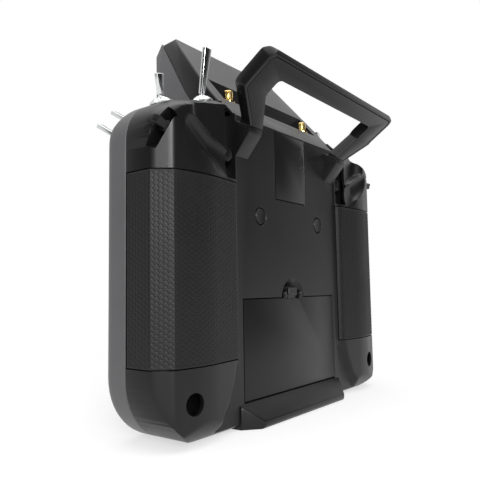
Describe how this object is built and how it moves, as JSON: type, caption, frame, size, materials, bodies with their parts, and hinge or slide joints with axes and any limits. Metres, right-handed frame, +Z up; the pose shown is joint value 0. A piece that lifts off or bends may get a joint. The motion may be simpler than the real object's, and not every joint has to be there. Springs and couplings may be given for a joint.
{
  "type": "radio transmitter controller",
  "caption": "Handheld radio transmitter with stick gimbals, raised screen head, rubber grips, carry handle, toggle switches and a hinged battery door.",
  "frame": {"origin": "floor level, middle of the width, on the plane of the back panel; the foot under the battery door rests there", "axes": "+X to the right hand of the user who holds it, +Y out of its back, towards the handle, +Z up"},
  "size_m": [0.253, 0.1155, 0.2508],
  "materials": {
    "shell_satin": "satin dark grey moulded plastic",
    "shell_black": "fine-textured black moulded plastic",
    "grip_rubber": "black rubber with a fine raised pattern",
    "latch_black": "black moulded plastic",
    "cell_wrap": "blue shrink wrap",
    "handle_black": "satin black moulded plastic",
    "screw_steel": "plain steel",
    "port_gold": "gold-plated brass",
    "switch_chrome": "polished chrome plate",
    "inner_black": "black moulded plastic",
    "plate_black": "satin black moulded plastic",
    "board_green": "green circuit board",
    "gimbal_metal": "dark anodised aluminium",
    "stick_metal": "turned aluminium",
    "slider_grey": "grey moulded plastic",
    "button_black": "satin black moulded plastic",
    "wheel_rubber": "ribbed rubber",
    "bezel_gloss": "gloss black",
    "screen_glass": "dark glass",
    "screen_back": "screen panel"
  },
  "bodies": {
    "casing": {"front_shell": "shell_satin", "rear_shell": "shell_black", "grip_right": "grip_rubber", "grip_left": "grip_rubber", "battery_cells": "cell_wrap", "port_cover": "shell_black", "screw_caps": "shell_black", "handle_frame": "handle_black", "handle_cap": "handle_black", "handle_screws": "screw_steel", "case_screws": "screw_steel", "antenna_ports": "port_gold", "antenna_port_nuts": "port_gold", "switch_bodies": "switch_chrome", "switch_nuts": "switch_chrome", "gimbal_housings": "inner_black", "gimbal_faceplates": "plate_black", "gimbal_sensors": "board_green", "screen_bezel": "bezel_gloss", "screen_glass": "screen_glass", "screen_module": "screen_back", "main_board": "board_green", "radio_board": "board_green", "speaker": "inner_black", "socket_block": "inner_black", "strap_loop": "switch_chrome"},
    "lever_back_right": {"lever_back_right": "switch_chrome"},
    "lever_side_right": {"lever_side_right": "switch_chrome"},
    "lever_inner_right": {"lever_inner_right": "switch_chrome"},
    "lever_outer_right": {"lever_outer_right": "switch_chrome"},
    "lever_back_left": {"lever_back_left": "switch_chrome"},
    "lever_side_left": {"lever_side_left": "switch_chrome"},
    "lever_inner_left": {"lever_inner_left": "switch_chrome"},
    "lever_outer_left": {"lever_outer_left": "switch_chrome"},
    "yoke_right": {"yoke_right": "gimbal_metal"},
    "stick_right": {"stick_right": "stick_metal", "stick_end_right": "stick_metal"},
    "yoke_left": {"yoke_left": "gimbal_metal"},
    "stick_left": {"stick_left": "stick_metal", "stick_end_left": "stick_metal"},
    "slider_right": {"slider_right": "slider_grey"},
    "slider_left": {"slider_left": "slider_grey"},
    "rear_button_right": {"rear_button_right": "button_black"},
    "rear_button_left": {"rear_button_left": "button_black"},
    "trim_across_right": {"trim_across_right": "button_black"},
    "trim_up_right": {"trim_up_right": "button_black"},
    "trim_across_left": {"trim_across_left": "button_black"},
    "trim_up_left": {"trim_up_left": "button_black"},
    "dial_right": {"dial_right": "button_black"},
    "dial_left": {"dial_left": "button_black"},
    "scroll_wheel": {"scroll_wheel": "wheel_rubber"},
    "power_button": {"power_button": "button_black"},
    "menu_key": {"menu_key": "button_black"},
    "return_key": {"return_key": "button_black"},
    "battery_door": {"battery_door": "shell_black"},
    "door_latch": {"door_latch": "latch_black"}
  },
  "joints": [
    {"name": "back_switch_right", "type": "hinge", "parent": "casing", "child": "lever_back_right", "pos_m": [0.07653, -0.013, 0.19364], "axis": [1, 0, 0], "range_deg": [-16, 16]},
    {"name": "side_switch_right", "type": "hinge", "parent": "casing", "child": "lever_side_right", "pos_m": [0.10373, -0.019, 0.18686], "axis": [1, 0, 0], "range_deg": [-16, 16]},
    {"name": "inner_switch_right", "type": "hinge", "parent": "casing", "child": "lever_inner_right", "pos_m": [0.098, -0.03737, 0.17364], "axis": [1, 0, 0], "range_deg": [-16, 16]},
    {"name": "outer_switch_right", "type": "hinge", "parent": "casing", "child": "lever_outer_right", "pos_m": [0.1105, -0.04188, 0.16614], "axis": [1, 0, 0], "range_deg": [-16, 16]},
    {"name": "back_switch_left", "type": "hinge", "parent": "casing", "child": "lever_back_left", "pos_m": [-0.07653, -0.019, 0.19364], "axis": [1, 0, 0], "range_deg": [-16, 16]},
    {"name": "side_switch_left", "type": "hinge", "parent": "casing", "child": "lever_side_left", "pos_m": [-0.10373, -0.019, 0.18686], "axis": [1, 0, 0], "range_deg": [-16, 16]},
    {"name": "inner_switch_left", "type": "hinge", "parent": "casing", "child": "lever_inner_left", "pos_m": [-0.098, -0.03737, 0.17364], "axis": [1, 0, 0], "range_deg": [-16, 16]},
    {"name": "outer_switch_left", "type": "hinge", "parent": "casing", "child": "lever_outer_left", "pos_m": [-0.1105, -0.04188, 0.16614], "axis": [1, 0, 0], "range_deg": [-16, 16]},
    {"name": "stick_up_right", "type": "hinge", "parent": "casing", "child": "yoke_right", "pos_m": [0.084, -0.0295, 0.108], "axis": [1, 0, 0], "range_deg": [-20, 20], "stiffness_Nm_per_rad": 0.03},
    {"name": "stick_across_right", "type": "hinge", "parent": "yoke_right", "child": "stick_right", "pos_m": [0.084, -0.0295, 0.108], "axis": [0, 0, 1], "range_deg": [-20, 20], "stiffness_Nm_per_rad": 0.03},
    {"name": "stick_up_left", "type": "hinge", "parent": "casing", "child": "yoke_left", "pos_m": [-0.084, -0.0295, 0.108], "axis": [1, 0, 0], "range_deg": [-20, 20]},
    {"name": "stick_across_left", "type": "hinge", "parent": "yoke_left", "child": "stick_left", "pos_m": [-0.084, -0.0295, 0.108], "axis": [0, 0, 1], "range_deg": [-20, 20], "stiffness_Nm_per_rad": 0.03},
    {"name": "slider_right_turn", "type": "hinge", "parent": "casing", "child": "slider_right", "pos_m": [0.1005, -0.0036, 0.16066], "axis": [0, -0.9205, 0.3907], "range_deg": [-22, 15]},
    {"name": "slider_left_turn", "type": "hinge", "parent": "casing", "child": "slider_left", "pos_m": [-0.1005, -0.0036, 0.16066], "axis": [0, 0.9205, -0.3907], "range_deg": [-22, 15]},
    {"name": "rear_button_right_press", "type": "slide", "parent": "casing", "child": "rear_button_right", "axis": [0, -1, 0], "range_m": [0, 0.001], "stiffness_N_per_m": 400},
    {"name": "rear_button_left_press", "type": "slide", "parent": "casing", "child": "rear_button_left", "axis": [0, -1, 0], "range_m": [0, 0.001], "stiffness_N_per_m": 400},
    {"name": "trim_across_right_slide", "type": "slide", "parent": "casing", "child": "trim_across_right", "axis": [1, 0, 0], "range_m": [-0.003, 0.003]},
    {"name": "trim_up_right_slide", "type": "slide", "parent": "casing", "child": "trim_up_right", "axis": [0, 0, 1], "range_m": [-0.003, 0.003]},
    {"name": "trim_across_left_slide", "type": "slide", "parent": "casing", "child": "trim_across_left", "axis": [1, 0, 0], "range_m": [-0.003, 0.003]},
    {"name": "trim_up_left_slide", "type": "slide", "parent": "casing", "child": "trim_up_left", "axis": [0, 0, 1], "range_m": [-0.003, 0.003]},
    {"name": "dial_right_turn", "type": "hinge", "parent": "casing", "child": "dial_right", "pos_m": [0.047, -0.043, 0.131], "axis": [0, -1, 0], "range_deg": [-150, 150]},
    {"name": "dial_left_turn", "type": "hinge", "parent": "casing", "child": "dial_left", "pos_m": [-0.047, -0.043, 0.131], "axis": [0, -1, 0], "range_deg": [-150, 150]},
    {"name": "scroll_wheel_turn", "type": "hinge", "parent": "casing", "child": "scroll_wheel", "pos_m": [0.026, -0.0388, 0.1], "axis": [1, 0, 0], "continuous": true},
    {"name": "power_press", "type": "slide", "parent": "casing", "child": "power_button", "axis": [0, 1, 0], "range_m": [0, 0.0012], "stiffness_N_per_m": 400},
    {"name": "menu_press", "type": "slide", "parent": "casing", "child": "menu_key", "axis": [0, 1, 0], "range_m": [0, 0.0012], "stiffness_N_per_m": 400},
    {"name": "return_press", "type": "slide", "parent": "casing", "child": "return_key", "axis": [0, 1, 0], "range_m": [0, 0.0012], "stiffness_N_per_m": 400},
    {"name": "battery_door_swing", "type": "hinge", "parent": "casing", "child": "battery_door", "pos_m": [0, -0.0012, 0.0156], "axis": [-1, 0, 0], "range_deg": [0, 90]},
    {"name": "door_latch_slide", "type": "slide", "parent": "battery_door", "child": "door_latch", "axis": [0, 0, -1], "range_m": [0, 0.003], "stiffness_N_per_m": 300}
  ]
}
